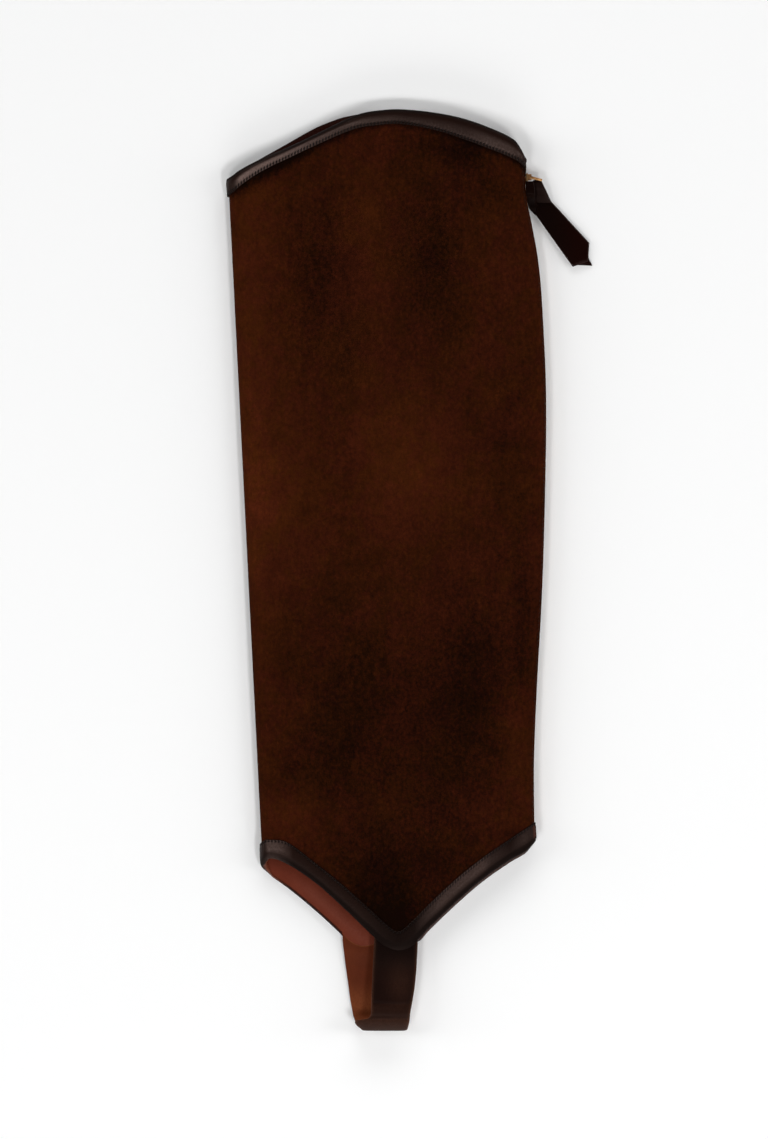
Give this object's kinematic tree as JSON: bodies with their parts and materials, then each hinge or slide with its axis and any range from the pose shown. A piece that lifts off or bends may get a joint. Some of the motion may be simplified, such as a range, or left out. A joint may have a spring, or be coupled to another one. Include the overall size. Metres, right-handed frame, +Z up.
{
  "type": "leather gaiter",
  "caption": "Suede half-chap gaiter laid flat: folded leg tube with bound edges, V-shaped foot edge with an under-foot strap, calf zip and a leather zip pull.",
  "frame": {"origin": "on the flat underside, near the middle of the leg tube, on the surface that it lies on", "axes": "+Y towards the knee edge, +X towards the calf zip, -X the shin fold, +Z up out of the surface"},
  "size_m": [0.2203, 0.5529, 0.0172],
  "materials": {
    "suede": "brushed suede nap, very dark brown, mottled",
    "dark_leather": "smooth dyed leather, soft shine, stitched",
    "tan_leather": "smooth red-tan lining leather, low shine",
    "zip_tape": "woven dark brown tape",
    "brass": "polished"
  },
  "bodies": {
    "gaiter": {"suede_body": "suede", "lining": "tan_leather", "top_binding": "dark_leather", "foot_binding": "dark_leather", "strap": "dark_leather", "strap_lining": "tan_leather", "zip_tape_near": "zip_tape", "zip_tape_far": "zip_tape", "zip_chain": "brass", "slider": "brass"},
    "pull": {"puller": "brass", "pull_loop": "dark_leather", "pull_wrap": "dark_leather", "pull_tail": "dark_leather", "pull_tail_under": "dark_leather"}
  },
  "joints": [
    {"name": "pull_swing", "type": "hinge", "parent": "gaiter", "child": "pull", "pos_m": [0.08326, 0.2358, 0.008], "axis": [0, 0, 1], "range_deg": [0, 75]}
  ]
}
